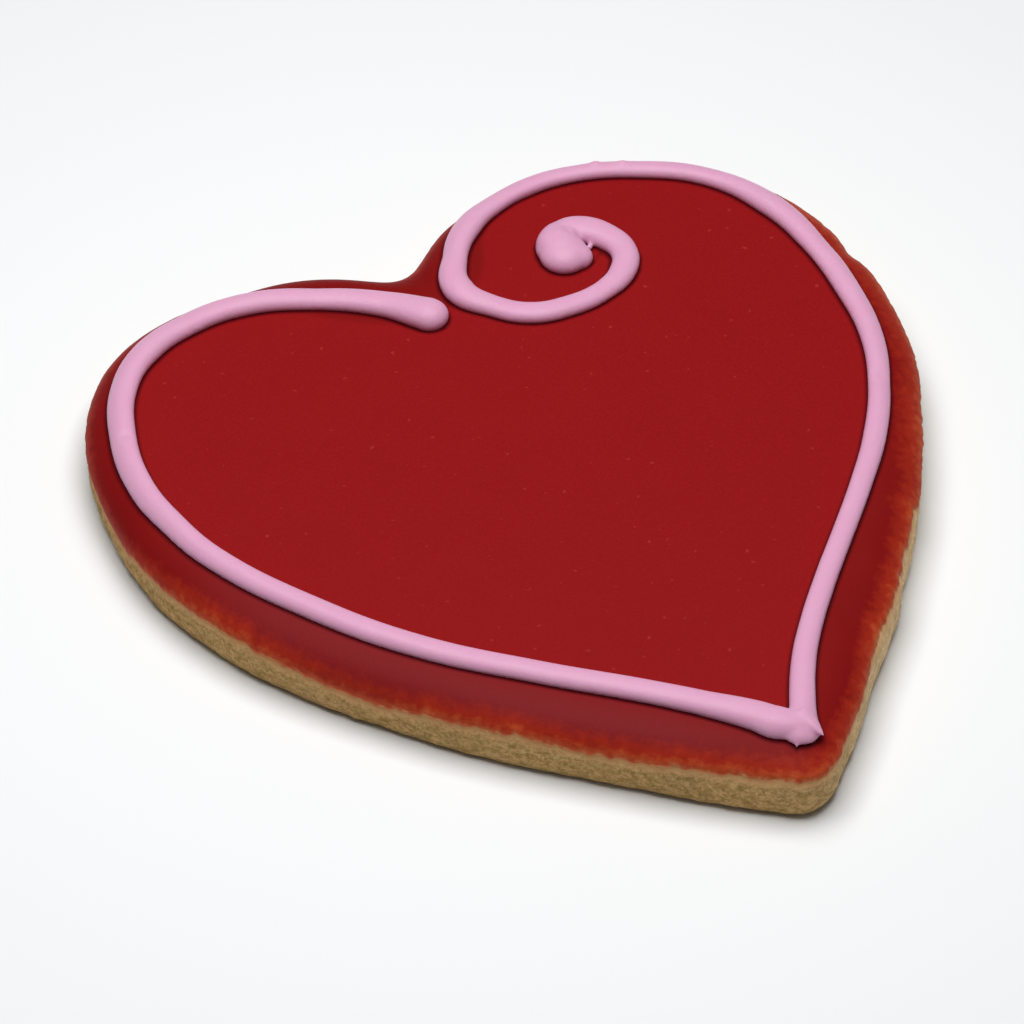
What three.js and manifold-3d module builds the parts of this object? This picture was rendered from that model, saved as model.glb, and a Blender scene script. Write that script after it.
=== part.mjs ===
// An iced sugar cookie, standing alone: a heart-shaped biscuit, its coat of red icing and a piped pink line.
// Millimetres, +Z up. It lies flat, its tip towards -Y and its lobes towards +Y.
// The origin is the middle of its footprint, on the surface that it lies on.
import * as THREE from 'three';
import { mergeVertices } from 'three/addons/utils/BufferGeometryUtils.js';
import Module from 'manifold-3d';

// The whole cookie
const WIDTH = 90;
const LENGTH = 94.24;
const HEIGHT = 8.16; // from the floor to the flat of the icing

// The cutter's outline, given for one half: from the cleft over a lobe and down its side to the tip
const CLEFT_DEPTH = 7; // below the lobes' tops
const CLEFT_BOW = 4.25;
const LOBE_X = 21.9; // a lobe's top, from the middle line
const LOBE_BOW_IN = 16.5;
const LOBE_BOW_OUT = 11.4;
const WIDEST_Y = 16.6;
const SIDE_BOW_UP = 22.1;
const SIDE_BOW_DOWN = 25.5;
const TIP_ANGLE = THREE.MathUtils.degToRad(47.9); // between a side and the middle line
const TIP_BOW = 18.7;
const TIP_ROUND = 4.5; // from the sides' corner back to where the blunt tip starts

// The section through its edge: a low wall, then a wide soft shoulder up to the flat
const WALL_TOP = 5;
const SHOULDER_IN = 5.2;
const SHOULDER_STEPS = 5;
const FOOT = [[0.9, 0], [0.25, 0.45], [0, 1.5]]; // the baked bottom edge: how far in, how high
const AROUND = 144; // points round the edge
const EDGE_WAVES = [ // waves round, share, turn
  [3, 0.0005, 1.7], [5, 0.0008, 4.6], [6, 0.0014, 4.93],
  [7, 0.0009, 4.56], [9, 0.001, 2.55], [12, 0.0013, 3.36],
];

// The red coat
const COAT = 1.2; // its thickness on top
const SKIRT = 0.3; // its thickness on the wall
const HEM = 5.3; // the middle height of its hem, which is lowest in front and climbs on the right
const HEM_WAVES = [
  [1, 0.8, 4.16], [2, 0.28, 1.59], [3, 0.18, 6.0], [6, 0.13, 3.16], [8, 0.13, 0.17], [10, 0.21, 5.0],
];
const FIT = 0.1; // left open between the pieces

// The piped line: a round bead, pressed a little flat by its own weight
const BEAD_WIDTH = 3;
const BEAD_RISE = 1.5; // of a bead of that width, above the icing
const BEAD_LIFT = 0.33; // the share of its rise by which its widest level lies above the icing
const BEAD_SIDES = 10;
const BEAD_STEP = 2.2;

// The right stroke starts in a blob, curls out round it, and then follows the edge to the tip.
// Stations are [x, y, width] on the curl, and [way from cleft to tip, how far in, width] at the edge.
const BLOB = [[16, 33.3, 5.3], [16.5, 32.3, 5.1], [17.3, 31.6, 3.5]];
const CURL = [
  [15.8, 34, 3.6], [17.5, 35.5, 3], [19.9, 35, 2.8], [21.5, 32.6, 3.1], [21.9, 29.6, 3.1], [20.3, 26.9, 3],
  [16.8, 25.2, 2.6], [12.4, 24.9, 2.7], [8.2, 26, 2.8], [5.2, 29, 2.8], [3.3, 32.9, 3.5], [5.7, 38, 2.8],
];
const RIGHT_EDGE = [
  [0.08, 4, 3.4], [0.14, 2.7, 3.2], [0.19, 3.3, 2.7], [0.24, 4, 2.6], [0.3, 3.7, 2.7], [0.36, 3.9, 3.2],
  [0.42, 4.5, 2.9], [0.48, 4.8, 2.8], [0.54, 4.6, 2.6], [0.6, 4.9, 2.5], [0.66, 5.4, 2.5],
  [0.72, 6.4, 2.5], [0.78, 7.2, 2.4], [0.84, 7.6, 2.5], [0.9, 7.5, 2.5], [0.94, 6.8, 2.7], [0.98, 4.9, 2.8],
];

// The left stroke starts beside the cleft with a club-shaped end
const LEFT_EDGE = [
  [0.015, 9.4, 4.4], [0.05, 8.3, 3.3], [0.1, 6.8, 2.8], [0.15, 4.3, 3.3], [0.2, 3.7, 3.3],
  [0.24, 3.4, 3.5], [0.28, 3.5, 3.2], [0.34, 3.7, 2.9], [0.4, 3.7, 2.8], [0.45, 4.3, 2.7],
  [0.5, 4.8, 2.7], [0.6, 5.7, 2.8], [0.7, 5.8, 2.8], [0.8, 6.6, 2.8], [0.9, 6.9, 2.9],
  [0.94, 6.6, 3.1], [0.98, 5.8, 3.6],
];

// Where the two strokes run together the bead is torn off in two small points
const JOIN = [0.6, -42, 3.8];
const TORN_POINTS = [[1.9, -44.6, 0.7], [-1.1, -44.1, 0.8]];
const TORN_ROOT = 2.8; // the width at which a torn point leaves the bead

const BISCUIT_COLOUR = 0xb38b55;
const RED_COLOUR = 0x8e1d1f;
const PINK_COLOUR = 0xe3a6c7;

// The outline moved in by inset, as a closed shape that starts at the cleft and runs clockwise
function heart(inset) {
  const side = WIDTH / 2 - inset;
  const shrink = side / (WIDTH / 2);
  const top = LENGTH / 2 - inset;
  const cleft = top - CLEFT_DEPTH;
  const corner = -LENGTH / 2 - TIP_ROUND * Math.cos(TIP_ANGLE) / 2 + inset / Math.sin(TIP_ANGLE);
  const fromCorner = (reach) => [reach * Math.sin(TIP_ANGLE), corner + reach * Math.cos(TIP_ANGLE)];
  const [bowX, bowY] = fromCorner(TIP_BOW * shrink);
  const [roundX, roundY] = fromCorner(TIP_ROUND);
  const lobe = LOBE_X * shrink;
  const lobeIn = (LOBE_X - LOBE_BOW_IN) * shrink;
  const lobeOut = (LOBE_X + LOBE_BOW_OUT) * shrink;
  const above = WIDEST_Y + SIDE_BOW_UP * shrink;
  const below = WIDEST_Y - SIDE_BOW_DOWN * shrink;
  return new THREE.Shape()
    .moveTo(0, cleft)
    .bezierCurveTo(CLEFT_BOW * shrink, cleft, lobeIn, top, lobe, top)
    .bezierCurveTo(lobeOut, top, side, above, side, WIDEST_Y)
    .bezierCurveTo(side, below, bowX, bowY, roundX, roundY)
    .quadraticCurveTo(0, corner, -roundX, roundY)
    .bezierCurveTo(-bowX, bowY, -side, below, -side, WIDEST_Y)
    .bezierCurveTo(-side, above, -lobeOut, top, -lobe, top)
    .bezierCurveTo(-lobeIn, top, -CLEFT_BOW * shrink, cleft, 0, cleft);
}

// A sum of waves round the cookie, for what is uneven by hand
function waves(list, turn) {
  return list.reduce((sum, [count, size, start]) => sum + size * Math.cos(count * turn + start), 0);
}

// One level of a solid that follows the edge: heightAt gives its height at each turn round the cookie
function level(inset, heightAt) {
  return heart(inset).getSpacedPoints(AROUND).slice(0, AROUND).map((point, i) => {
    const turn = 2 * Math.PI * i / AROUND;
    const share = 1 + waves(EDGE_WAVES, turn);
    return new THREE.Vector3(point.x * share, point.y * share, heightAt(turn));
  });
}

// The levels of a shoulder: a quarter of an ellipse from the wall, outer in, up to the flat at top
function shoulder(outer, top) {
  return Array.from({ length: SHOULDER_STEPS + 1 }, (_, step) => {
    const angle = step / SHOULDER_STEPS * Math.PI / 2;
    const inset = SHOULDER_IN - (SHOULDER_IN - outer) * Math.cos(angle);
    const height = WALL_TOP + (top - WALL_TOP) * Math.sin(angle);
    return level(inset, () => height);
  });
}

// The height of the icing at a distance in from the edge
function icingHeight(inset) {
  const run = Math.max(0, 1 - inset / SHOULDER_IN);
  return WALL_TOP + (HEIGHT - WALL_TOP) * Math.sqrt(1 - run * run);
}

// A closed geometry through rings of equally many points, with a fan over its first and its last ring
function loft(rings) {
  const count = rings[0].length;
  const total = (ring) => ring.reduce((sum, point) => sum.add(point), new THREE.Vector3());
  const middle = (ring) => total(ring).divideScalar(count);
  const points = [...rings.flat(), middle(rings[0]), middle(rings.at(-1))];
  const end = (rings.length - 1) * count;
  const faces = [];
  for (let i = 0; i < count; i++) {
    const next = (i + 1) % count;
    faces.push(points.length - 2, next, i);
    faces.push(points.length - 1, end + i, end + next);
    for (let row = 0; row < end; row += count) {
      faces.push(row + i, row + next, row + count + next);
      faces.push(row + i, row + count + next, row + count + i);
    }
  }
  const volume = faces.reduce((sum, face, k) => {
    return k % 3 ? sum : sum + points[face].dot(points[faces[k + 1]].clone().cross(points[faces[k + 2]]));
  }, 0);
  const geometry = new THREE.BufferGeometry().setFromPoints(points);
  geometry.setIndex(volume < 0 ? faces.reverse() : faces);
  return geometry;
}

// A solid slab with the baked foot, the wall and the shoulder
function slab(outer, top) {
  const foot = FOOT.map(([inset, height]) => level(outer + inset, () => height));
  return loft([...foot, ...shoulder(outer, top)]);
}

// The bead's section: half its width, half its height, and how high its widest level is above the icing
function beadSection(width) {
  const rise = BEAD_RISE * Math.sqrt(width / BEAD_WIDTH);
  return { across: width / 2, up: rise * (1 - BEAD_LIFT), lift: rise * BEAD_LIFT };
}

// The height of the icing under a point of the piped line
const EDGE = heart(0).getSpacedPoints(AROUND);
function icingUnder(x, y) {
  const here = new THREE.Vector2(x, y);
  return icingHeight(Math.min(...EDGE.map((point) => point.distanceTo(here))));
}

// A bead through stations of [x, y, width], which the curve carries in its three coordinates
function bead(stations) {
  const curve = new THREE.CatmullRomCurve3(stations.map((station) => new THREE.Vector3(...station)));
  const steps = Math.round(curve.getLength() / BEAD_STEP);
  const rings = Array.from({ length: steps + 1 }, (_, step) => {
    const { x, y, z: width } = curve.getPointAt(step / steps);
    const ahead = curve.getTangentAt(step / steps).setZ(0).normalize();
    const section = beadSection(width);
    return Array.from({ length: BEAD_SIDES }, (_, side) => {
      const angle = 2 * Math.PI * side / BEAD_SIDES;
      const across = section.across * Math.cos(angle);
      const height = icingUnder(x, y) + section.lift + section.up * Math.sin(angle);
      return new THREE.Vector3(x - ahead.y * across, y + ahead.x * across, height);
    });
  });
  return loft(rings);
}

// The rounded drop that a bead starts or ends with
function drop([x, y, width]) {
  const section = beadSection(width);
  return new THREE.SphereGeometry(1, 12, 8)
    .scale(section.across, section.across, section.up)
    .translate(x, y, icingUnder(x, y) + section.lift);
}

// Stations beside the edge, on the right half for side 1 and on the left half for side -1
function edgeStations(list, side) {
  return list.map(([way, inset, width]) => {
    const { x, y } = heart(inset).getPointAt(way / 2);
    const share = 1 + waves(EDGE_WAVES, side * Math.PI * way);
    return [side * x * share, y * share, width];
  });
}

const wasm = await Module();
wasm.setup();

function toSolid(geometry) {
  const bare = geometry.clone();
  bare.deleteAttribute('normal');
  bare.deleteAttribute('uv');
  const merged = mergeVertices(bare, 1e-4);
  const mesh = new wasm.Mesh({
    numProp: 3,
    vertProperties: new Float32Array(merged.attributes.position.array),
    triVerts: new Uint32Array(merged.index.array),
  });
  return new wasm.Manifold(mesh);
}

function toGeometry(solid) {
  const { vertProperties, triVerts } = solid.getMesh();
  const geometry = new THREE.BufferGeometry();
  geometry.setAttribute('position', new THREE.BufferAttribute(vertProperties, 3));
  geometry.setIndex(new THREE.BufferAttribute(triVerts, 1));
  return geometry;
}

// All that lies below the hem, or below a surface a little lower
function belowHem(lower) {
  const height = (turn) => HEM + waves(HEM_WAVES, turn) - lower;
  return toSolid(loft([level(-1, () => -1), level(-1, height)]));
}

// Up to the hem the biscuit fills its outline, and above it it stays lower, under the icing
function biscuit() {
  const shown = toSolid(slab(SKIRT / 2, HEIGHT - SKIRT)).intersect(belowHem(FIT));
  return toGeometry(shown.add(toSolid(slab(SKIRT / 2, HEIGHT - COAT))));
}

// The coat is the skin over the biscuit, from the hem up
function coat() {
  const whole = toSolid(slab(-SKIRT / 2, HEIGHT)).subtract(belowHem(0));
  return toGeometry(whole.subtract(toSolid(slab(SKIRT / 2 - FIT, HEIGHT - COAT + FIT))));
}

// The piped line is one piece: both strokes and their ends run together, and lie on the icing
function piping() {
  const right = [...CURL, ...edgeStations(RIGHT_EDGE, 1), JOIN];
  const left = [...edgeStations(LEFT_EDGE, -1), JOIN];
  const torn = TORN_POINTS.map((point) => [[point[0] / 2, JOIN[1], TORN_ROOT], point]);
  const beads = [right, left, ...torn].map(bead);
  const drops = [...BLOB, left[0], JOIN].map(drop);
  const joined = [...beads, ...drops].map(toSolid).reduce((whole, piece) => whole.add(piece));
  return toGeometry(joined.subtract(toSolid(slab(-SKIRT / 2 - FIT, HEIGHT + FIT))));
}

function piece(name, geometry, color, roughness) {
  const material = new THREE.MeshStandardMaterial({ color, roughness, metalness: 0 });
  const mesh = new THREE.Mesh(geometry, material);
  mesh.name = name;
  return mesh;
}

const group = new THREE.Group();
group.add(piece('biscuit', biscuit(), BISCUIT_COLOUR, 0.95));
group.add(piece('red_icing', coat(), RED_COLOUR, 0.45));
group.add(piece('pink_piping', piping(), PINK_COLOUR, 0.55));

export default group;
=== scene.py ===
# %% [markdown]
# # A heart cookie with red icing and a piped pink line
# The cookie has three pieces, one on top of the other: the baked biscuit, a coat of red icing that
# runs over its edge, and one line of pink icing, piped by hand. Their sizes are fixed by a packed
# model, the frame, and each piece here stands for the solid of the same place in that frame.
# Everything is in metres; a length given in millimetres is multiplied by MM.

# %% Load the frame
import math

import bpy
import numpy as np
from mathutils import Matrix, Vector, kdtree, noise


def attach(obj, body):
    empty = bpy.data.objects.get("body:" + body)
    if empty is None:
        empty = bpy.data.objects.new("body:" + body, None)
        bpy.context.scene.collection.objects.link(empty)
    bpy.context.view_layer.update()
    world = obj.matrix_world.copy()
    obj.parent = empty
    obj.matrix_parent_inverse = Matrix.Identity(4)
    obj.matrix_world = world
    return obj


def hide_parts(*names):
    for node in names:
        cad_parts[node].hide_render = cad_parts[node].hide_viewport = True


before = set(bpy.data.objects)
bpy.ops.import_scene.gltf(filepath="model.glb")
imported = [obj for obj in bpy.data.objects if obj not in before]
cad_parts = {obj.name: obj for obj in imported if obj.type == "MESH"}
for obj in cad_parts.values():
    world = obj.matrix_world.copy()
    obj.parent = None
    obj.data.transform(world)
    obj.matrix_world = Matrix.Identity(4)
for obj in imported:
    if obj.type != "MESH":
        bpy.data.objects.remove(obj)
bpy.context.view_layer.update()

MM = 0.001

# %% [markdown]
# ## Camera
# A long lens from 0.9 m away, looking down at the cookie from its lower left, draws it almost without
# perspective: its near edge and its far edge keep the same scale. A short lens close by would make the
# tip too large, and an orthographic camera would leave out the little depth that there is.

# %% Place the camera
VIEW_AZIMUTH = math.radians(-29.92)
VIEW_ELEVATION = math.radians(43.75)
VIEW_DISTANCE = 0.9
LOOK_AT = Vector((-4.5 * MM, 7.93 * MM, 0))
LENS = 297.4

level_reach = VIEW_DISTANCE * math.cos(VIEW_ELEVATION)
camera_place = LOOK_AT + Vector((
    level_reach * math.sin(VIEW_AZIMUTH),
    -level_reach * math.cos(VIEW_AZIMUTH),
    VIEW_DISTANCE * math.sin(VIEW_ELEVATION),
))
bpy.ops.object.camera_add(location=camera_place, rotation=(math.pi / 2 - VIEW_ELEVATION, 0, VIEW_AZIMUTH))
camera = bpy.context.object
camera.data.lens = LENS
camera.data.sensor_width = 36
bpy.context.scene.camera = camera

# %% [markdown]
# ## Floor and light
# The cookie lies on a plain pale table under one soft box. The box is small and hangs only a third of
# a metre up, almost straight above, so the shadow on the table is deep right beside the wall, on every
# side, and soft further out. The wall of the biscuit gets its light from the table and from a dim room.
# The box isn't where the flat icing would mirror it towards the camera, so the red stays deep. A sun
# lamp would give the shadow a hard edge, and a larger box further off would wash it out.

# %% Lay the floor and hang the lamp
FLOOR_SIZE = 6
ROOM_STRENGTH = 0.1
LAMP_PLACE = Vector((-0.013, 0.016, 0.33))
LAMP_SIZE = 0.28
LAMP_POWER = 1.35

bpy.ops.mesh.primitive_plane_add(size=FLOOR_SIZE)
floor = bpy.context.object
floor.name = "table_top"

world = bpy.data.worlds.new("soft_room")
bpy.context.scene.world = world
world.use_nodes = True
room = world.node_tree.nodes["Background"]
room.inputs["Color"].default_value = (1, 1, 1, 1)
room.inputs["Strength"].default_value = ROOM_STRENGTH

facing_down = (-LAMP_PLACE).to_track_quat("-Z", "Y").to_euler()
bpy.ops.object.light_add(type="AREA", location=LAMP_PLACE, rotation=facing_down)
lamp = bpy.context.object
lamp.name = "top_soft_box"
lamp.data.size = LAMP_SIZE
lamp.data.energy = LAMP_POWER
bpy.context.scene.view_settings.view_transform = "Standard"

# %% [markdown]
# ## The cutter's outline
# The heart is drawn with three Bezier curves a side and a blunt tip, like a bent strip of tin. Moved in
# by an inset, the same curves draw the levels of the shoulder. The points are then spread evenly along
# the outline, so that the point with one number lies at the same place round the cookie on each level.
# Dough doesn't keep the tin's line in the oven, so slow waves and a few single lumps and dents are added.
# A path drawn freehand would do too, but here every size of the heart has a name and can be changed.

# %% Draw the heart
WIDTH = 90 * MM
LENGTH = 94.24 * MM
CLEFT_DEPTH = 7 * MM
CLEFT_BOW = 4.25 * MM
LOBE_X = 21.9 * MM
LOBE_BOW_IN = 16.5 * MM
LOBE_BOW_OUT = 11.4 * MM
WIDEST_Y = 16.6 * MM
SIDE_BOW_UP = 22.1 * MM
SIDE_BOW_DOWN = 25.5 * MM
TIP_ANGLE = math.radians(47.9)
TIP_BOW = 18.7 * MM
TIP_ROUND = 4.5 * MM
AROUND = 1200
EDGE_WAVES = [
    # waves round the cookie, how far out in parts of the radius, turn in radians
    (3, 0.0005, 1.7), (5, 0.0008, 4.6), (6, 0.0014, 4.93), (7, 0.0009, 4.56), (9, 0.001, 2.55),
    (12, 0.0013, 3.36),
]
CURVE_STEPS = 200


def bezier(*corners):
    """Points along a cubic Bezier curve, without its last one."""
    t = np.linspace(0, 1, CURVE_STEPS, endpoint=False)[:, None]
    start, first, second, end = (np.array(corner) for corner in corners)
    return (1 - t) ** 3 * start + 3 * (1 - t) ** 2 * t * first + 3 * (1 - t) * t * t * second + t ** 3 * end


def spread(path, count):
    """count points spread evenly along an open path."""
    way = np.concatenate([[0], np.cumsum(np.linalg.norm(np.diff(path, axis=0), axis=1))])
    stops = np.linspace(0, way[-1], count)
    return np.stack([np.interp(stops, way, path[:, axis]) for axis in range(path.shape[1])], axis=1)


def half_heart(inset, count):
    """count points of the right half, from the cleft to the tip."""
    side = WIDTH / 2 - inset
    shrink = side / (WIDTH / 2)
    top = LENGTH / 2 - inset
    cleft = (0, top - CLEFT_DEPTH)
    lobe = (LOBE_X * shrink, top)
    corner = -LENGTH / 2 - TIP_ROUND * math.cos(TIP_ANGLE) / 2 + inset / math.sin(TIP_ANGLE)

    def from_corner(reach):
        return reach * math.sin(TIP_ANGLE), corner + reach * math.cos(TIP_ANGLE)

    blunt = from_corner(TIP_ROUND)
    tip = (0, (blunt[1] + corner) / 2)
    path = np.concatenate([
        bezier(cleft, (CLEFT_BOW * shrink, cleft[1]), ((LOBE_X - LOBE_BOW_IN) * shrink, top), lobe),
        bezier(lobe, ((LOBE_X + LOBE_BOW_OUT) * shrink, top),
               (side, WIDEST_Y + SIDE_BOW_UP * shrink), (side, WIDEST_Y)),
        bezier((side, WIDEST_Y), (side, WIDEST_Y - SIDE_BOW_DOWN * shrink),
               from_corner(TIP_BOW * shrink), blunt),
        bezier(blunt, (blunt[0] * 2 / 3, (blunt[1] + 2 * tip[1]) / 3), (blunt[0] / 3, tip[1]), tip),
        [tip],
    ])
    return spread(path, count)


def heart(inset):
    """The whole outline, moved in by inset: AROUND points, clockwise from the cleft."""
    right = half_heart(inset, AROUND // 2 + 1)
    left = right[-2:0:-1] * [-1, 1]
    return np.concatenate([right, left])


TURNS = np.linspace(0, 2 * math.pi, AROUND, endpoint=False)
DEGREES = np.degrees(TURNS)


def at_stations(table, column=1):
    """One column of a table of stations round the cookie, spread over the points of the outline."""
    columns = np.transpose(table)
    return np.interp(DEGREES, columns[0], columns[column], period=360)


def ramp(value, low, high):
    """0 below low, 1 above high and soft between them."""
    share = np.clip((value - low) / (high - low), 0, 1)
    return share * share * (3 - 2 * share)


EDGE_LUMPS = [
    # place in degrees round from the cleft, spread in degrees, how far out in parts of the radius
    (19, 5, -0.011), (40, 6, -0.006), (47, 13, -0.006), (68, 8, 0.002), (78, 2.4, -0.012), (86, 4, 0.001),
    (99, 5, 0.003), (110, 4, -0.0045), (134, 4, -0.0045), (138.5, 2, -0.006), (144, 2, 0.004),
    (157, 5, -0.009), (287, 6, -0.003), (310, 6, -0.004), (338, 4, -0.004),
]
waves = sum(out * np.cos(count * TURNS + start) for count, out, start in EDGE_WAVES)
lumps = sum(out * np.exp(-((DEGREES - place) / spread_out) ** 2) for place, spread_out, out in EDGE_LUMPS)


def level(inset, height):
    """One level of a piece: the outline at an inset, with its waves and lumps, at a height."""
    points = heart(inset) * (1 + waves + lumps)[:, None]
    return np.column_stack([points, np.broadcast_to(height, AROUND)])


print("outline", heart(0).min(axis=0) / MM, heart(0).max(axis=0) / MM, "mm")

# %% [markdown]
# ## Rolling a sheet round the outline
# The biscuit and its coat are made like a rolled sheet: a grid primitive has one column for each point
# of the outline and one row for each level of the section. Its vertices are put on the levels, its two
# sides are sewn together by merging, and a first or last row on a single point closes the end. A block
# could be sculpted into the same form, but rows and columns stay where later steps can find them.

# %% Roll a sheet into a closed piece
MIDDLE = np.array([0, 5 * MM])


def shrunk(ring, share):
    """A level drawn in towards the middle of the cookie, for its flat top or bottom."""
    smaller = ring.copy()
    smaller[:, :2] = MIDDLE + (ring[:, :2] - MIDDLE) * share
    return smaller


def roll_sheet(name, levels):
    """A closed piece whose sheet goes through all the levels, from its first to its last."""
    bpy.ops.object.select_all(action="DESELECT")
    bpy.ops.mesh.primitive_grid_add(x_subdivisions=AROUND, y_subdivisions=len(levels) - 1)
    piece = bpy.context.object
    piece.name = name
    sheet = np.stack([np.vstack([ring, ring[:1]]) for ring in levels])
    piece.data.vertices.foreach_set("co", sheet.ravel())
    bpy.ops.object.mode_set(mode="EDIT")
    bpy.ops.mesh.select_all(action="SELECT")
    bpy.ops.mesh.remove_doubles(threshold=1e-7)
    bpy.ops.mesh.normals_make_consistent(inside=False)
    bpy.ops.object.mode_set(mode="OBJECT")
    bpy.ops.object.shade_smooth()
    print(name, len(piece.data.vertices), "points")
    return piece


def places(piece):
    """The piece's vertices as an array."""
    flat = np.empty(len(piece.data.vertices) * 3)
    piece.data.vertices.foreach_get("co", flat)
    return flat.reshape(-1, 3)


def put(piece, points):
    """Moves the piece's vertices to the points."""
    piece.data.vertices.foreach_set("co", points.ravel())
    piece.data.update()


# %% [markdown]
# ## The section through the edge
# The biscuit stands on a small baked foot, has a low wall, and is domed over its shoulder, where the
# icing pulled it soft. One list of levels describes that section. Each sheet of both pieces follows it,
# a little further in or out, so a row of one sheet lies beside the row of the same number of another.
# Bevel modifiers would round each piece on its own, and the two would not fit together.

# %% Give the section its sizes
HEIGHT = 8.16 * MM
WALL_TOP = 5 * MM
SHOULDER_IN = 5.2 * MM
FOOT_IN = 1.3 * MM
FOOT_UP = 2.2 * MM
FOOT_ROWS = 9
WALL_ROWS = 13
SHOULDER_ROWS = 32
COAT = 1.2 * MM
SKIRT = 0.3 * MM
FIT = 0.1 * MM


def quarter(steps):
    """The angles of a quarter turn."""
    return np.linspace(0, math.pi / 2, steps + 1)


def side_sheet(outer, top):
    """The levels of a side, outer in from the outline: foot, wall, and shoulder up to the flat at top."""
    foot = [level(outer + FOOT_IN * (1 - math.sin(turn)), FOOT_UP * (1 - math.cos(turn)))
            for turn in quarter(FOOT_ROWS)]
    wall = [level(outer, height) for height in np.linspace(FOOT_UP, WALL_TOP, WALL_ROWS + 1)[1:-1]]
    shoulder = [level(SHOULDER_IN - (SHOULDER_IN - outer) * math.cos(turn),
                      WALL_TOP + (top - WALL_TOP) * math.sin(turn))
                for turn in quarter(SHOULDER_ROWS)]
    return np.stack(foot + wall + shoulder)


icing_sheet = side_sheet(-SKIRT / 2, HEIGHT)
ROWS = len(icing_sheet)
print(ROWS, "rows from the floor to the flat, up to", icing_sheet[:, :, 2].max() / MM, "mm")

# %% [markdown]
# The icing ran down to a lower edge, its hem, by hand and gravity: the stations below say how high it
# stopped. It is frayed where the icing soaked into the crumb, so two sizes of noise are added. A height
# on the section is turned into a row number with a fraction, and a point between two rows is read off
# the sheet. A change of colour alone would be less work, but then the icing would have no edge.

# %% Draw the hem
HEM = [
    # degrees round from the cleft, height in millimetres
    (0, 5.1), (24, 4.9), (45, 5.3), (60, 5.2), (72, 5.6), (90, 5.5), (105, 5.3), (122, 5.3), (127, 5.2),
    (129.5, 6.1), (135, 5.85), (145, 6), (153, 6.2), (160, 5.7), (166, 5.25), (175, 5.5), (184, 5.7),
    (192, 5.4), (202, 4.95), (210, 4.6), (219, 5.3), (229, 4.65), (239, 4), (250, 4.4), (259, 5.05),
    (270, 4.8), (278, 4.45), (284, 3.85), (291, 4.1), (298, 4.5), (310, 4.5), (325, 4.9), (345, 4.8),
]
FRAYS = [(2.2 * MM, 0.28 * MM), (0.8 * MM, 0.28 * MM)]  # size of the noise, how far up and down


def frayed(points):
    """Noise of each fray size along a line of points."""
    return np.array([
        sum(depth * noise.noise(Vector(point) / size) for size, depth in FRAYS) for point in points
    ])


hem = at_stations(HEM) * MM + frayed(level(0, 0))
row_heights = icing_sheet[:, 0, 2]
hem_row = np.interp(hem, row_heights, np.arange(ROWS))


def between_rows(sheet, row):
    """The points of a sheet at a row number with a fraction, which may differ round the cookie."""
    under = np.clip(np.floor(row).astype(int), 0, ROWS - 2)
    share = (row - under)[:, None]
    column = np.arange(AROUND)
    return sheet[under, column] * (1 - share) + sheet[under + 1, column] * share


print("hem from", hem.min() / MM, "to", hem.max() / MM, "mm")

# %% [markdown]
# ## The biscuit
# Only its wall and its underside show. Up to the hem it fills the outline, and from there it dips under
# the icing, which gets thicker towards the flat. The wall has small faces, because its crumb is real
# relief. It could be left open under the icing, but a closed piece is a whole biscuit without its coat.

# %% Roll the biscuit
DIP_START = 1  # rows above the hem
DIP_END = 9
UNDERSIDE_SHARES = (0, 0.2, 0.4, 0.55, 0.7, 0.8, 0.88, 0.94, 0.98)
TOP_SHARES = (0.6, 0)
shown = side_sheet(SKIRT / 2, HEIGHT - SKIRT)
hidden = side_sheet(SKIRT / 2, HEIGHT - COAT)
dip = ramp(np.arange(ROWS)[:, None] - hem_row, DIP_START, DIP_END)[:, :, None]
biscuit_side = shown * (1 - dip) + hidden * dip
underside = [shrunk(biscuit_side[0], share) for share in UNDERSIDE_SHARES]
biscuit_top = [shrunk(biscuit_side[-1], share) for share in TOP_SHARES]
biscuit = roll_sheet("baked_biscuit", [*underside, *biscuit_side, *biscuit_top])

# %% [markdown]
# ## The coat of red icing
# Its sheet goes down inside along the biscuit, round the hem, and up again outside. It is as thin as
# paper at the hem and over a millimetre thick on top, where it flowed level before it set. A solidify
# modifier would make it as thick at the hem as on top.

# %% Roll the coat
SKIRT_ROWS = 38
LINING_SHARES = (1, 0.75, 0.5, 0.3, 0.2, 0.1, 0.03)
THICKENS_IN = 5  # rows above the hem
HEM_TUCK = 0.02 * MM
FLAT_INSETS = np.linspace(5.8, 11.8, 11) * MM
FLAT_SHARES = np.linspace(0.95, 0, 20)
lining = side_sheet(SKIRT / 2 - FIT, HEIGHT - COAT + FIT)
close_lining = side_sheet(SKIRT / 2 - HEM_TUCK, HEIGHT - SKIRT)
outside = []
inside = []
for share in np.linspace(0, 1, SKIRT_ROWS):
    row = hem_row + (ROWS - 1 - hem_row) * share
    thick = np.clip((row - hem_row) / THICKENS_IN, 0, 1)[:, None]
    thick = np.sin(thick * math.pi / 2)
    outside.append(between_rows(close_lining, row) * (1 - thick) + between_rows(icing_sheet, row) * thick)
for share in LINING_SHARES:
    row = hem_row + (ROWS - 1 - hem_row) * share
    deep = ramp(row - hem_row, DIP_START, DIP_END)[:, None]
    inside.append(between_rows(close_lining, row) * (1 - deep) + between_rows(lining, row) * deep)
inside_top = [shrunk(inside[0], share) for share in reversed(TOP_SHARES)]
near_flat = [level(inset, HEIGHT) for inset in FLAT_INSETS]
flat = [shrunk(near_flat[-1], share) for share in FLAT_SHARES]
coat = roll_sheet("red_icing_coat", [*inside_top, *inside, *outside, *near_flat, *flat])

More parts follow.
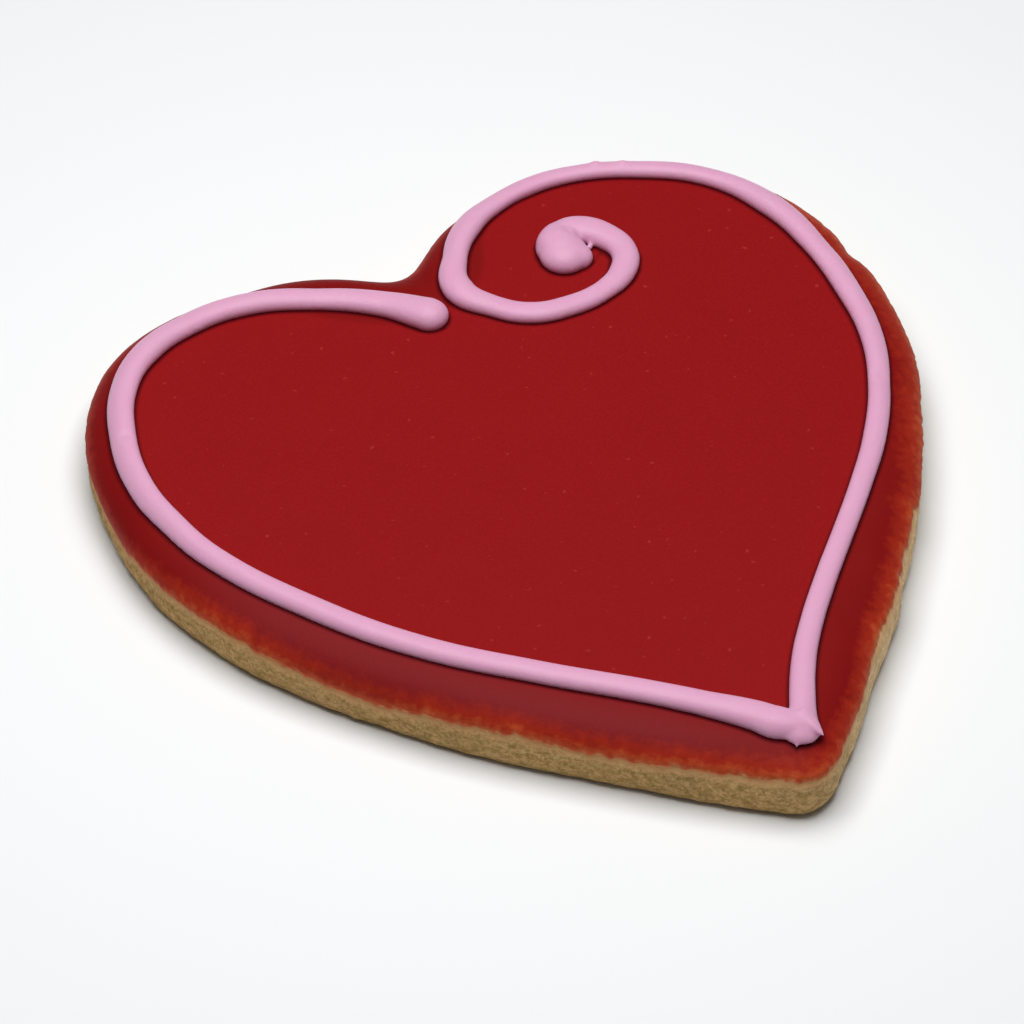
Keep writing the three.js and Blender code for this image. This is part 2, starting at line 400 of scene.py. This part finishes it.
# %% [markdown]
# ## Places for the finishes
# The icing thinned and soaked in by how far it ran. Vertex attributes keep this for the finishes: how far a
# point lies above the hem and how far the icing is soaked and thinned there. Two more carry painted light:
# where a painted sheen lies on the front band, standing in for a reflection, and how much paler the crumb's
# right side is painted, standing in for more light on that side. They could be painted with a brush, but
# stations round the cookie can be read and corrected.

# %% Measure the way up from the hem
SOAKING = [
    # degrees round from the cleft, slope of the fading, its start in millimetres
    (45, 1, 0), (56, 0.7, -0.55), (66, 0.65, -0.45), (78, 0.65, -0.05), (90, 0.65, 0.15), (104, 0.65, 0.2),
    (113, 0.65, 0), (120, 0.65, 0.05), (127, 0.75, 0.1), (133, 0.9, 0.05), (140, 1, 0), (268, 1, 0),
    (280, 1.3, 0), (300, 1.3, 0), (315, 1, 0),
]
# degrees round from the cleft, share; first the painted sheen on the front band, then the painted paler side
# of the crumb
PAINTED_SHEEN = [(178, 0), (188, 0.3), (200, 0.9), (255, 0.9), (272, 0.1), (280, 0)]
PAINTED_SIDE_LIGHT = [(90, 0.5), (120, 1), (158, 1), (170, 0.7), (180, 0.1), (188, 0), (300, 0), (330, 0.3)]

outline_tree = kdtree.KDTree(AROUND)
for number, point in enumerate(level(0, 0)):
    outline_tree.insert(point, number)
outline_tree.balance()
steps_up = np.linalg.norm(np.diff(icing_sheet[:, 0], axis=0), axis=1)
climbed = np.concatenate([[0], np.cumsum(steps_up)])
hem_climb = np.interp(hem, row_heights, climbed)


def nearest_edge(points):
    """For each point, the number of the nearest outline point and how far in from the edge it is."""
    found = [outline_tree.find((x, y, 0)) for x, y, _ in points]
    return np.array([number for _, number, _ in found]), np.array([away for _, _, away in found])


def mark(piece, name, values):
    """Keeps one value for each vertex, for the finishes to read."""
    attribute = piece.data.attributes.new(name, "FLOAT", "POINT")
    attribute.data.foreach_set("value", values)


def mark_hem(piece):
    """Keeps, and returns, how far up along the surface each vertex lies from the hem, in millimetres."""
    points = places(piece)
    number, _ = nearest_edge(points)
    above = (np.interp(points[:, 2], row_heights, climbed) - hem_climb[number]) / MM
    mark(piece, "above_hem", above)
    mark(piece, "soaked", above * at_stations(SOAKING)[number] + at_stations(SOAKING, 2)[number])
    # a painted sheen on the front band, standing in for a reflection
    mark(piece, "painted_sheen", at_stations(PAINTED_SHEEN)[number])
    # a painted paler right side of the crumb, standing in for more light on that side
    mark(piece, "painted_side_light", at_stations(PAINTED_SIDE_LIGHT)[number])
    return above


# %% [markdown]
# ## Crumb
# The dough was rolled out, so its grain lies flat: long low ridges and open pores. Displace modifiers
# push the wall in and out by procedural textures, read through an empty that squashes them in height.
# The relief fades out over the hem, and the coat takes the same relief there, since it is too thin to
# hide the crumb. It is faint underneath, where the dough lay on the tray. Bump in the finish would be
# cheaper, but it would leave the outline of the wall smooth.

# %% Press the crumb into the wall
RELIEF = [
    # texture, size, depth, squash in height
    ("VORONOI", 1.1 * MM, 0.14 * MM, 0.7),
    ("CLOUDS", 2 * MM, 0.24 * MM, 0.7),
    ("CLOUDS", 6 * MM, 0.35 * MM, 1),
    ("CLOUDS", 0.5 * MM, 0.1 * MM, 0.8),
]
FADE_START = -0.4  # millimetres above the hem
FADE_END = 1.8
TRAY_FADE = 0.5 * MM
UNDERSIDE_WEIGHT = 0.15


def press_crumb(piece, above, underside_weight):
    """Pushes the piece in and out by all the relief, where it lies below the fade over the hem."""
    points = places(piece)
    weight = 1 - np.clip((above - FADE_START) / (FADE_END - FADE_START), 0, 1)
    low = np.clip(points[:, 2] / TRAY_FADE, underside_weight, 1)
    group = piece.vertex_groups.new(name="crumb")
    for number, share in enumerate(weight * low):
        if share > 0:
            group.add([number], share, "REPLACE")
    bpy.ops.object.select_all(action="DESELECT")
    piece.select_set(True)
    bpy.context.view_layer.objects.active = piece
    for kind, size, depth, squash in RELIEF:
        texture = bpy.data.textures.new("crumb_" + kind.lower(), kind)
        texture.noise_scale = size
        bpy.ops.object.empty_add(scale=(1, 1, squash))
        space = bpy.context.object
        bpy.context.view_layer.objects.active = piece
        push = piece.modifiers.new("crumb", "DISPLACE")
        push.texture = texture
        push.texture_coords = "OBJECT"
        push.texture_coords_object = space
        push.strength = depth
        push.mid_level = 0.5
        push.vertex_group = "crumb"
        bpy.ops.object.modifier_apply(modifier=push.name)
        bpy.data.objects.remove(space)
    points = places(piece)
    points[:, 2] = np.maximum(points[:, 2], 0)
    put(piece, points)


press_crumb(biscuit, mark_hem(biscuit), UNDERSIDE_WEIGHT)
press_crumb(coat, mark_hem(coat), 1)

# %% [markdown]
# ## The piped line
# The line is squeezed from a bag in two strokes. The right one starts in a blob, runs out along a
# spiral, and follows the edge to the tip; the left one starts beside the cleft. Each stroke is a Bezier
# curve with a bead's section as its bevel, and the radius of its points is the pressure on the bag.
# It is modelled on a flat plane at height 0 and laid on the icing afterwards. A sculpted line could
# look the same, but here its place and its width stay numbers.

# %% Set out the strokes
BEAD_WIDTH = 3 * MM
BEAD_RISE = 1.5 * MM
BEAD_LIFT = 0.27  # the share of its rise by which its widest level lies above the icing
BEAD_DEPTH = 0.6
STEEP_FLANK = 1.1
SWIRL = [
    # x, y and width in millimetres
    (16, 32.2, 4.8), (16.2, 33.9, 4.9), (17.8, 35.3, 3.4), (19.8, 34.6, 3.6), (21.4, 32.4, 3.4),
    (21.9, 29.6, 3.1), (20.3, 26.9, 3), (16.8, 25.2, 2.6), (12.4, 24.9, 2.7), (8.2, 26, 2.8),
    (5.2, 29, 2.8), (3.3, 32.9, 3.5), (5.7, 38, 2.8),
]
RIGHT_EDGE = [
    # way from the cleft (0) to the tip (1), millimetres in from the edge, width in millimetres
    (0.08, 4, 3.36), (0.11, 3.1, 3.17), (0.14, 2.78, 3.1), (0.19, 3.36, 2.6), (0.24, 4, 2.56),
    (0.3, 3.7, 2.73), (0.36, 3.9, 3.25), (0.42, 4.5, 2.85), (0.48, 4.8, 2.81), (0.54, 4.6, 2.62),
    (0.6, 4.9, 2.45), (0.66, 5.4, 2.55), (0.72, 6.4, 2.45), (0.78, 7.2, 2.42), (0.84, 7.6, 2.47),
    (0.9, 7.5, 2.53), (0.94, 6.8, 2.67), (0.98, 4.9, 2.84),
]
LEFT_EDGE = [
    (0.05, 8.3, 3.3), (0.1, 6.8, 2.82), (0.15, 4.4, 3.15), (0.2, 3.82, 3.12),
    (0.24, 3.55, 3.3), (0.28, 3.55, 3.05), (0.34, 3.7, 2.89), (0.4, 3.7, 2.75), (0.45, 4.3, 2.72),
    (0.5, 4.8, 2.7), (0.6, 5.7, 2.81), (0.7, 5.8, 2.77), (0.8, 6.6, 2.79), (0.9, 6.9, 2.92),
    (0.94, 6.6, 3.08), (0.98, 5.8, 3.64),
]
CLUB = (-1.5, 31, 4.3)
CORNER = (-1.1, -40.4, 3.9)
JOIN = (1.2, -42, 3.2)
HALF_STEPS = 400


def edge_stations(table, side):
    """Stations beside the edge as x, y and width, on the right (side 1) or the left (side -1)."""
    for way, inset, width in table:
        turn = side * math.pi * way
        edge_wave = 1 + sum(size * math.cos(count * turn + start) for count, size, start in EDGE_WAVES)
        x, y = half_heart(inset * MM, HALF_STEPS + 1)[round(way * HALF_STEPS)] / MM * edge_wave
        yield side * x, y, width


right_stroke = [*SWIRL, *edge_stations(RIGHT_EDGE, 1), JOIN]
left_stroke = [CLUB, *edge_stations(LEFT_EDGE, -1), CORNER, JOIN]
print(len(right_stroke), "stations on the right,", len(left_stroke), "on the left")

# %% [markdown]
# A round nozzle leaves a bead that stays round on top, stands steep at its flanks and sags against the
# icing. One Bezier circle is pulled into that section, and each stroke sweeps it along its stations. A
# curve's own round bevel would stand on the icing like a wire.

# %% Squeeze the strokes
def bead_section():
    """A closed curve across the bead, which reaches a little way under the icing that it lies on."""
    bpy.ops.curve.primitive_bezier_circle_add(radius=1)
    section = bpy.context.object
    left, top, right, bottom = section.data.splines[0].bezier_points
    for point in (left, top, right, bottom):
        for part in ("co", "handle_left", "handle_right"):
            x, y, z = getattr(point, part)
            if point in (left, right):
                y *= STEEP_FLANK
            height = y * BEAD_RISE * (1 - BEAD_LIFT if y > 0 else BEAD_DEPTH) + BEAD_RISE * BEAD_LIFT
            setattr(point, part, (x * BEAD_WIDTH / 2, height, 0))
    return section


def squeeze_stroke(name, stations, section):
    """A mesh swept along the stations, each with its own width."""
    bpy.ops.curve.primitive_bezier_curve_add()
    stroke = bpy.context.object
    stroke.name = name
    spline = stroke.data.splines[0]
    spline.bezier_points.add(len(stations) - 2)
    for point, (x, y, width) in zip(spline.bezier_points, stations):
        point.handle_left_type = point.handle_right_type = "AUTO"
        point.co = (x * MM, y * MM, 0)
        point.radius = width * MM / BEAD_WIDTH
    stroke.data.bevel_mode = "OBJECT"
    stroke.data.bevel_object = section
    stroke.data.twist_mode = "Z_UP"
    stroke.data.use_fill_caps = True
    stroke.data.resolution_u = 24
    bpy.ops.object.convert(target="MESH")
    return bpy.context.object


section = bead_section()
parts = [
    squeeze_stroke("right_stroke", right_stroke, section),
    squeeze_stroke("left_stroke", left_stroke, section),
]
bpy.data.objects.remove(section)

# %% [markdown]
# The bag was set down in a blob, where the line starts, and pulled off at the tip, where it tore in two
# points with a thin web between them. The blob, the rounded ends and the web are squashed spheres, and
# the points are cones: simple forms are enough, because the next step melts them into one.

# %% Add the drops
ROOT_HEIGHT = 0.4  # millimetres up inside the bead, where a torn point starts


def drop(x, y, width, rise):
    """A squashed sphere on the plane, in millimetres."""
    bpy.ops.mesh.primitive_uv_sphere_add(segments=32, ring_count=16, radius=1)
    ball = bpy.context.object
    ball.scale = (width / 2 * MM, width / 2 * MM, rise * (1 - BEAD_LIFT) * MM)
    ball.location = (x * MM, y * MM, rise * BEAD_LIFT * MM)
    return ball


def torn_point(x, y, tip_x, tip_y, width, tip_height):
    """A cone from inside the bead to a point beside it, in millimetres."""
    start = Vector((x, y, ROOT_HEIGHT)) * MM
    end = Vector((tip_x, tip_y, tip_height)) * MM
    length = (end - start).length
    bpy.ops.mesh.primitive_cone_add(vertices=16, radius1=width / 2 * MM, radius2=0, depth=length)
    cone = bpy.context.object
    cone.rotation_euler = (end - start).to_track_quat("Z", "Y").to_euler()
    cone.location = (start + end) / 2
    return cone


parts += [
    # x, y, width and rise
    drop(15.95, 32.15, 5.5, 2.3),
    drop(16, 33.3, 5.2, 2.2),
    drop(17.15, 31.1, 3.2, 1.8),
    drop(17.8, 34.05, 1.9, 1.95),
    drop(19.15, 32.15, 0.7, 0.6),
    drop(*CLUB, 2.1),
    drop(0.7, -42, 4.3, 1.35),
    # from x, y to x, y, then width and the height of the point
    torn_point(1.5, -41.5, 2.15, -44.7, 3.2, 1.5),
    torn_point(0.7, -41.4, -1, -44.2, 2.6, 0.1),
]

# %% [markdown]
# Fresh icing flows together where it touches. A voxel remesh melts the strokes and the drops into one
# closed skin, and a smooth modifier rounds off what is left of their seams. A boolean union would keep
# a sharp crease at each seam.

# %% Melt them into one bead
VOXEL = 0.18 * MM
SMOOTHING = 14
bpy.ops.object.select_all(action="DESELECT")
for part in parts:
    part.select_set(True)
bpy.context.view_layer.objects.active = parts[0]
bpy.ops.object.join()
bead = bpy.context.object
bead.name = "pink_piped_line"
bpy.ops.object.transform_apply(location=True, rotation=True, scale=True)
melt = bead.modifiers.new("melt", "REMESH")
melt.mode = "VOXEL"
melt.voxel_size = VOXEL
bpy.ops.object.modifier_apply(modifier=melt.name)
soften = bead.modifiers.new("soften", "SMOOTH")
soften.factor = 0.5
soften.iterations = SMOOTHING
bpy.ops.object.modifier_apply(modifier=soften.name)
bpy.ops.object.shade_smooth()
print("bead", len(bead.data.vertices), "points")

# %% [markdown]
# A piped line keeps the marks of the hand and the bag: two small bubbles on the far lobe and a shallow
# dent on either side. Each is a soft push down or up, as a brush would do it, but it can be repeated.

# %% Press the marks
MARKS = [
    # x, y, radius, depth, all in millimetres; a bubble has a depth below 0
    (26.2, 43, 0.55, -0.3), (28.8, 41.5, 0.55, -0.25), (35.5, -1.5, 0.9, 0.25), (-39, 30, 0.6, 0.2),
]
points = places(bead)
flanks_kept = np.clip(points[:, 2] / (0.5 * BEAD_RISE), 0, 1)
for x, y, radius, depth in MARKS:
    away = np.hypot(points[:, 0] - x * MM, points[:, 1] - y * MM) / (radius * MM)
    points[:, 2] -= depth * MM * np.exp(-away ** 2) * flanks_kept
put(bead, points)

# %% [markdown]
# The line lies on the icing, also where it runs over the start of the shoulder: each point of the bead
# is raised by the height of the icing under it. A shrinkwrap modifier would follow the icing too, but it
# would press the bead flat.

# %% Lay the bead on the icing
points = places(bead)
_, inset = nearest_edge(points)
run = np.clip(1 - inset / SHOULDER_IN, 0, 1)
own_height = points[:, 2].copy()
points[:, 2] += WALL_TOP + (HEIGHT - WALL_TOP) * np.sqrt(1 - run ** 2)
put(bead, points)

# %% [markdown]
# The coat is painted differently along the line: right beside it a thin dark painted shade stands in for the
# contact shadow at the foot of the bead, and the band outside the line is painted darker, as painted shade
# for the slope it lies on. Two more attributes of the coat keep these places: how far a point lies past the
# flank of the bead, and how far it lies outside the middle of the line. Measured from the bead itself, they
# stay right when a station is moved.

# %% Measure the coat from the bead
LEAN = 0.4  # the most that a flank leans from upright
FLANK_FROM = 0.1 * MM
FLANK_TO = 0.9 * MM
CLEFT_INSET = 9  # millimetres, where no line runs beside the edge
normals = np.empty(len(bead.data.vertices) * 3)
bead.data.vertex_normals.foreach_get("vector", normals)
normals = normals.reshape(-1, 3)
upright = (np.abs(normals[:, 2]) < LEAN) & (own_height > FLANK_FROM) & (own_height < FLANK_TO)
flank, out = points[upright], normals[upright]
flank_tree = kdtree.KDTree(len(flank))
for number, (x, y, _) in enumerate(flank):
    flank_tree.insert((x, y, 0), number)
flank_tree.balance()
coat_points = places(coat)
found = [flank_tree.find((x, y, 0)) for x, y, _ in coat_points]
number = np.array([index for _, index, _ in found])
away = np.array([gap for _, _, gap in found])
outward = np.sum((coat_points - flank[number])[:, :2] * out[number][:, :2], axis=1)
mark(coat, "past_flank", np.where(outward > 0, away, -away) / MM)


def line_inset(way, table):
    """How far in from the edge the middle of the line runs, in millimetres."""
    ways, insets, _ = np.transpose(table)
    return np.interp(way, [0, *ways], [CLEFT_INSET, *insets])


number, inset = nearest_edge(coat_points)
way = number / (AROUND / 2)
line = np.where(way < 1, line_inset(way, RIGHT_EDGE), line_inset(2 - way, LEFT_EDGE))
mark(coat, "outside_line", line - inset / MM)
print("the line runs", line.min(), "to", line.max(), "mm in from the edge")

# %% [markdown]
# ## Writing finishes as sums
# A finish is a node tree. Two small classes keep it readable: a Wire is the output of a node, and sums
# on it add Math nodes; a Finish is a material whose node method adds any other node. The same trees
# could be drawn in the node editor, but a sum is shorter to read.

# %% The two classes
class Wire:
    """One output of a shader node. +, - and * on it, from either side, add Math nodes."""

    def __init__(self, finish, socket):
        self.finish = finish
        self.socket = socket

    def math(self, operation, first, second):
        return self.finish.node("ShaderNodeMath", {"operation": operation}, {0: first, 1: second})

    def __add__(self, other):
        return self.math("ADD", self, other)

    def __radd__(self, other):
        return self.math("ADD", other, self)

    def __sub__(self, other):
        return self.math("SUBTRACT", self, other)

    def __rsub__(self, other):
        return self.math("SUBTRACT", other, self)

    def __mul__(self, other):
        return self.math("MULTIPLY", self, other)

    def __rmul__(self, other):
        return self.math("MULTIPLY", other, self)


class Finish:
    """A material with one Principled BSDF. Numbers that are the same all over go to its own sockets."""

    def __init__(self, name, **even):
        self.material = bpy.data.materials.new(name)
        self.material.use_nodes = True
        self.tree = self.material.node_tree
        self.shader = self.tree.nodes["Principled BSDF"]
        for socket, value in even.items():
            self.shader.inputs[socket.replace("_", " ")].default_value = value

    def node(self, kind, settings=None, sockets=None, output=0):
        """Adds a node with its settings and what its sockets get, and gives one of its outputs."""
        node = self.tree.nodes.new(kind)
        for key, value in (settings or {}).items():
            setattr(node, key, value)
        for key, value in (sockets or {}).items():
            self.plug(node.inputs[key], value)
        return Wire(self, node.outputs[output])

    def plug(self, socket, value):
        if isinstance(value, Wire):
            self.tree.links.new(value.socket, socket)
        else:
            socket.default_value = value

    def place(self, stretch=(1, 1, 1)):
        """The place on the piece, stretched along its axes."""
        place = self.node("ShaderNodeTexCoord", output=3)
        return self.node("ShaderNodeMapping", {}, {"Vector": place, "Scale": stretch})

    def attribute(self, name):
        return self.node("ShaderNodeAttribute", {"attribute_name": name}, output=2)

    def grain(self, place, size, detail=3, roughness=0.5):
        """Noise with lumps of about the given size in metres, from 0 to 1."""
        sockets = {"Vector": place, "Scale": 1 / size, "Detail": detail, "Roughness": roughness}
        return self.node("ShaderNodeTexNoise", {}, sockets)

    def step(self, value, low, high):
        """0 below low, 1 above high and soft between them."""
        sockets = {"Value": value, "From Min": low, "From Max": high}
        return self.node("ShaderNodeMapRange", {"interpolation_type": "SMOOTHSTEP"}, sockets)

    def mix(self, share, first, second):
        return self.node("ShaderNodeMix", {"data_type": "RGBA"}, {0: share, 6: first, 7: second}, output=2)

    def bump(self, height, distance, strength=1):
        return self.node("ShaderNodeBump", {}, {"Height": height, "Distance": distance, "Strength": strength})


def shade(red, green, blue):
    """A colour from its three screen values, 0 to 255."""
    def linear(value):
        value = value / 255
        return value / 12.92 if value <= 0.04045 else ((value + 0.055) / 1.055) ** 2.4
    return linear(red), linear(green), linear(blue), 1


# %% [markdown]
# ## Baked biscuit
# Pale golden crumb with darker pores and lighter flour specks, browned on the foot and underneath, where it
# lay on the hot tray, and stained orange just below the hem. Its right side is painted paler, as painted
# light standing in for more light on that side, and the lower wall is painted darker towards the foot, as
# painted shade. Noise of three sizes makes the crumb, and height and hem place the browning and the painted
# shade. A painted picture would need unwrapping and would go soft close by.

# %% Mix the biscuit's finish
baked = Finish("baked_crumb", Roughness=0.9, Specular_IOR_Level=0.1)
flat_grain = baked.place((1, 1, 1.9))
even_place = baked.place()
pores = baked.grain(flat_grain, 1.1 * MM, 4, 0.6)
fine = baked.grain(even_place, 0.35 * MM, 3, 0.6)
patches = baked.grain(baked.place((1, 1, 1.8)), 5 * MM, 2, 0.5)
height = baked.node("ShaderNodeSeparateXYZ", {}, {0: even_place}, output=2)
above = baked.attribute("above_hem")
# painted light: the crumb's right side is painted paler, as if more light fell on it
painted_side_light = baked.attribute("painted_side_light") * baked.step(height, 0.1 * MM, 0.6 * MM)
dark = baked.mix(painted_side_light, shade(150, 120, 67), shade(204, 170, 120))
light = baked.mix(painted_side_light, shade(211, 172, 119), shade(250, 218, 174))
crumb = baked.mix(baked.step(pores * 0.5 + fine * 0.5, 0.36, 0.64), dark, light)
crumb = baked.mix((1 - baked.step(patches, 0.3, 0.65)) * 0.25, crumb, shade(146, 124, 72))
# painted shade: the lower wall is painted darker towards the foot
low = 1 - baked.step(height + pores * (1 * MM), 0.9 * MM, 2.4 * MM)
crumb = baked.mix(low * 0.35, crumb, shade(138, 112, 66))
rim = baked.step(above + fine * 0.8, -1.2, -0.1)
crumb = baked.mix(rim * 0.5, crumb, shade(222, 172, 122))
browned = 1 - baked.step(height + fine * (0.3 * MM), 0.05 * MM, 0.4 * MM)
crumb = baked.mix(browned * 0.6, crumb, shade(160, 112, 60))
stain = baked.step(above + (fine + pores) * 1.2 - 1.2, -0.7, 0.3)
crumb = baked.mix(stain * 0.7, crumb, shade(190, 108, 66))
baked.plug(baked.shader.inputs["Base Color"], crumb)
baked.plug(baked.shader.inputs["Normal"], baked.bump(pores * 0.6 + fine * 0.4, 0.22 * MM))

# %% [markdown]
# ## Red icing
# Deep red, dry and satin, with a very fine speckle and a few paler flecks. Outside the piped line it is
# painted a darker red, as painted shade for the slope there, and along the front that band gets a paler,
# purplish painted sheen that stands in for a reflection. Over the shoulder the coat gets thinner, so it turns
# brick red, then orange, and at the hem the crumb shows through; noise on the way up from the hem frays each
# of these steps. Right beside the line a thin dark painted shade stands in for the contact shadow under the
# bead. One colour after the other is laid on where the attributes say so, since a single blend from red to
# crumb would miss the orange between them.

# %% Mix the red finish
red = Finish("red_sugar_icing", Specular_IOR_Level=0.05)
place = red.place()
speckle = red.grain(place, 0.3 * MM, 2, 0.6)
clouds = red.grain(place, 9 * MM, 3, 0.55)
flecks = red.grain(place, 0.9 * MM, 1, 0.5)
fringe_noise = red.grain(red.place((1, 1, 1.3)), 1.0 * MM, 3, 0.6)
frayed_above = red.attribute("soaked") + fringe_noise * 2.2 - 1.05
outside_line = red.step(red.attribute("outside_line"), -0.6, 0.6)
# painted contact shade: a thin dark ring on the coat right beside the flank of the bead
painted_contact_shade = 1 - red.step(red.attribute("past_flank"), 0.05, 0.55)
# painted sheen: a paler, purplish veil on the front band outside the line, standing in for a reflection
painted_sheen = outside_line * red.attribute("painted_sheen")
icing = red.mix(red.step(speckle, 0.35, 0.75) * 0.35 + clouds * 0.2, shade(135, 16, 18), shade(149, 23, 25))
icing = red.mix(red.step(flecks, 0.71, 0.8) * 0.25, icing, shade(190, 70, 66))
# painted shade: the band outside the line is painted a darker red, for the slope that it lies on
icing = red.mix(outside_line, icing, red.mix(clouds, shade(118, 13, 14), shade(128, 18, 17)))
# lays the painted sheen on the front band
icing = red.mix(painted_sheen * 0.7, icing, shade(126, 30, 34))
icing = red.mix(1 - red.step(frayed_above, 1.4, 3.4), icing, shade(156, 40, 24))
icing = red.mix(1 - red.step(frayed_above, 0.6, 1.7), icing, shade(178, 70, 38))
icing = red.mix(1 - red.step(frayed_above, 0, 0.8), icing, shade(190, 102, 62))
icing = red.mix(1 - red.step(frayed_above, -0.4, 0.3), icing, shade(204, 146, 100))
# lays the painted contact shade, dark maroon
icing = red.mix(painted_contact_shade * 0.85, icing, shade(78, 3, 12))
red.plug(red.shader.inputs["Base Color"], icing)
red.plug(red.shader.inputs["Roughness"], 0.44 + speckle * 0.12)
red.plug(red.shader.inputs["Normal"], red.bump(speckle * 0.5 + clouds * 2, 0.06 * MM))

# %% [markdown]
# ## Pink icing
# Smooth and slightly see-through, so a little light spreads under its skin. Without that the bead would
# look like paint, with too dark a flank. Faint streaks and dust keep it from looking like plastic.

# %% Mix the pink finish
pink = Finish("pink_sugar_icing", Roughness=0.42, Specular_IOR_Level=0.3, Subsurface_Weight=0.4,
              Subsurface_Radius=(1.2 * MM, 0.5 * MM, 0.7 * MM), Subsurface_Scale=1)
place = pink.place()
streaks = pink.grain(place, 5 * MM, 3, 0.5)
dust = pink.grain(place, 0.5 * MM, 2, 0.5)
sugar = pink.mix(streaks * 0.6 + dust * 0.2, shade(215, 155, 188), shade(221, 170, 198))
pink.plug(pink.shader.inputs["Base Color"], sugar)
pink.plug(pink.shader.inputs["Roughness"], 0.38 + dust * 0.12)
pink.plug(pink.shader.inputs["Normal"], pink.bump(streaks + dust * 0.3, 0.08 * MM))

# %% [markdown]
# ## Table
# Matt, plain and pale. It is a touch cooler than white, since the light that the biscuit throws on it is
# warm, and a little below white, since white would swallow the soft end of the shadow.

# %% Finish the floor
table = Finish("white_table", Roughness=0.8, Specular_IOR_Level=0.1)
table.shader.inputs["Base Color"].default_value = (0.88, 0.89, 0.897, 1)
floor.data.materials.append(table.material)

# %% [markdown]
# ## Handing the pieces to the frame
# Each piece rides on the one body and stands for its solid.
# The frame then shows the dressed pieces and leaves its own plain solids out.

# %% Hand over
for piece, finish, node, slot in (
    (biscuit, baked, "biscuit", "biscuit"),
    (coat, red, "red_icing", "red_icing"),
    (bead, pink, "pink_piping", "pink_icing"),
):
    piece.data.materials.clear()
    piece.data.materials.append(finish.material)
    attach(piece, "root")
    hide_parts(node)
